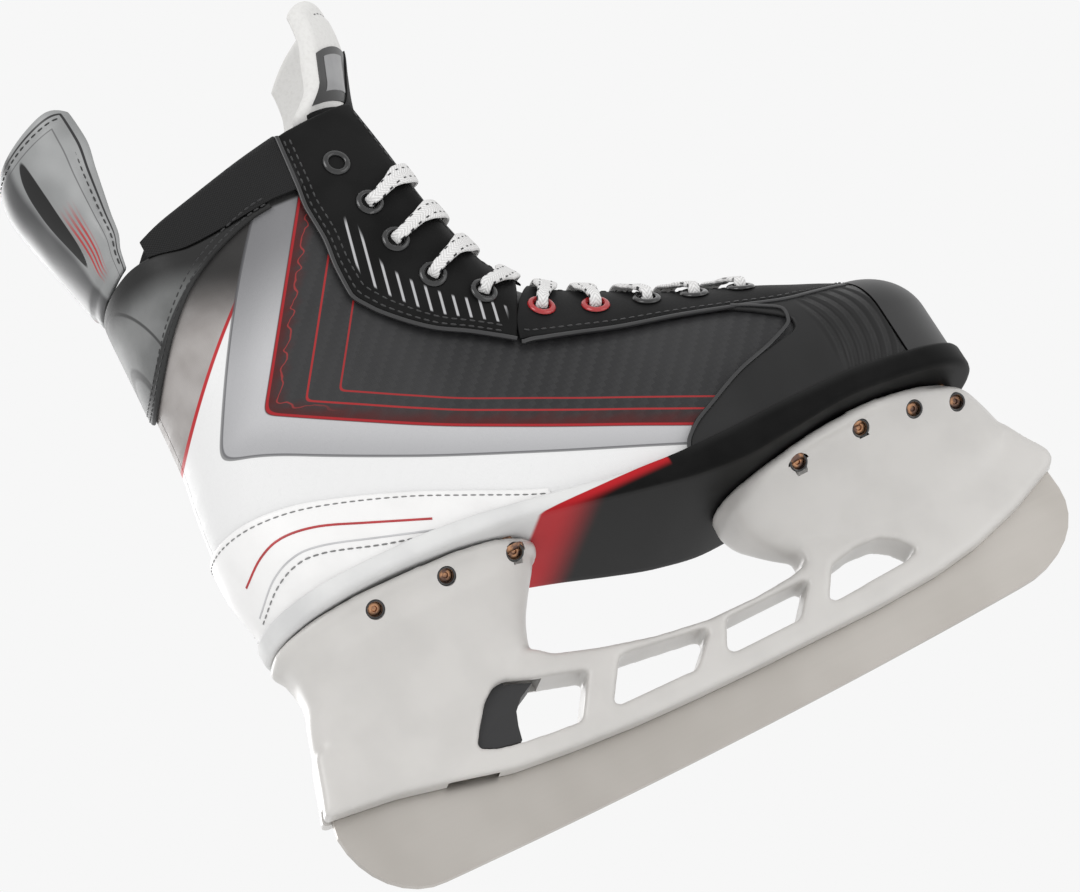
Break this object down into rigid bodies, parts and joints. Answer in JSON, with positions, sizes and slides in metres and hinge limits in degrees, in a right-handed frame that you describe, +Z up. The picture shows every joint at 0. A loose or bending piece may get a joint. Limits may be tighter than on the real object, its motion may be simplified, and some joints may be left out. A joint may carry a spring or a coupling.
{
  "type": "ice hockey skate",
  "caption": "Ice hockey skate with a laced padded boot, tendon guard, felt tongue and a white blade holder whose steel runner comes off with a trigger",
  "frame": {"origin": "lowest point of the steel runner's rocker, in the middle plane of the skate", "axes": "+X to the toe, +Y to the inner side of the foot, +Z up; a right skate"},
  "size_m": [0.304, 0.0976, 0.32],
  "materials": {
    "aglet_clear": "clear film tip",
    "grey_wrap": "dark grey ballistic cloth with black stitching",
    "collar_padding": "soft black padding with a bound edge",
    "eyelet_black": "gloss black",
    "eyelet_red": "gloss red",
    "black_synthetic": "matt black synthetic",
    "footbed_foam": "moulded foam with a brushed top",
    "forefoot_film": "dark grey pleated synthetic",
    "rivet_copper": "copper plated rivet",
    "white_synthetic": "smooth white synthetic with stitched edges",
    "holder_white": "satin white moulding",
    "lace_cotton": "white flat woven lace",
    "sole_composite": "light grey composite, black toward the toe",
    "carbon_weave": "dark grey woven composite under a satin film",
    "trigger_charcoal": "fine grained charcoal moulding",
    "steel": "satin ground steel",
    "guard_silver": "silver grey, black stitched border",
    "toe_shell": "smooth dark grey shell",
    "white_felt": "thick white felt",
    "pin_steel": "plain pin",
    "spring_steel": "drawn wire"
  },
  "bodies": {
    "boot": {"aglet_inner": "aglet_clear", "aglet_outer": "aglet_clear", "ankle_wrap": "grey_wrap", "collar": "collar_padding", "eyelet_inner_1": "eyelet_black", "eyelet_inner_10": "eyelet_black", "eyelet_inner_2": "eyelet_black", "eyelet_inner_3": "eyelet_black", "eyelet_inner_4": "eyelet_black", "eyelet_inner_5": "eyelet_black", "eyelet_inner_6": "eyelet_red", "eyelet_inner_7": "eyelet_red", "eyelet_inner_8": "eyelet_black", "eyelet_inner_9": "eyelet_black", "eyelet_outer_1": "eyelet_black", "eyelet_outer_10": "eyelet_black", "eyelet_outer_2": "eyelet_black", "eyelet_outer_3": "eyelet_black", "eyelet_outer_4": "eyelet_black", "eyelet_outer_5": "eyelet_black", "eyelet_outer_6": "eyelet_red", "eyelet_outer_7": "eyelet_red", "eyelet_outer_8": "eyelet_black", "eyelet_outer_9": "eyelet_black", "eyestay": "black_synthetic", "facing_inner": "black_synthetic", "facing_outer": "black_synthetic", "footbed": "footbed_foam", "forefoot_panel_inner": "forefoot_film", "forefoot_panel_outer": "forefoot_film", "front_rivet_inner_1": "rivet_copper", "front_rivet_inner_2": "rivet_copper", "front_rivet_inner_3": "rivet_copper", "front_rivet_inner_4": "rivet_copper", "front_rivet_outer_1": "rivet_copper", "front_rivet_outer_2": "rivet_copper", "front_rivet_outer_3": "rivet_copper", "front_rivet_outer_4": "rivet_copper", "heel_overlay": "white_synthetic", "holder": "holder_white", "lace": "lace_cotton", "lace_tail_inner": "lace_cotton", "lace_tail_outer": "lace_cotton", "outsole": "sole_composite", "quarter_inner": "carbon_weave", "quarter_outer": "carbon_weave", "rear_rivet_inner_1": "rivet_copper", "rear_rivet_inner_2": "rivet_copper", "rear_rivet_inner_3": "rivet_copper", "rear_rivet_outer_1": "rivet_copper", "rear_rivet_outer_2": "rivet_copper", "rear_rivet_outer_3": "rivet_copper", "toe_cap": "toe_shell", "tongue_lower": "white_felt", "trigger_pin": "pin_steel", "trigger_spring": "spring_steel"},
    "runner": {"runner": "steel"},
    "trigger": {"release_trigger": "trigger_charcoal"},
    "guard": {"tendon_guard": "guard_silver"},
    "tongue": {"tongue_upper": "white_felt"}
  },
  "joints": [
    {"name": "runner_release", "type": "hinge", "parent": "boot", "child": "runner", "pos_m": [0.125, 0, 0.036], "axis": [0, -1, 0], "range_deg": [0, 5]},
    {"name": "trigger_pull", "type": "hinge", "parent": "boot", "child": "trigger", "pos_m": [-0.073, 0, 0.056], "axis": [0, -1, 0], "range_deg": [0, 25], "deforming": ["trigger_spring"]},
    {"name": "tendon_guard_flex", "type": "hinge", "parent": "boot", "child": "guard", "pos_m": [-0.1225, 0, 0.2418], "axis": [0, -1, 0], "range_deg": [-8, 20], "stiffness_Nm_per_rad": 3},
    {"name": "tongue_fold", "type": "hinge", "parent": "boot", "child": "tongue", "pos_m": [-0.016, 0, 0.257], "axis": [0, 1, 0], "range_deg": [-10, 40], "stiffness_Nm_per_rad": 2}
  ],
  "couplings": [
    {"joint": "trigger_pull", "follows": "runner_release", "ratio": 5}
  ]
}
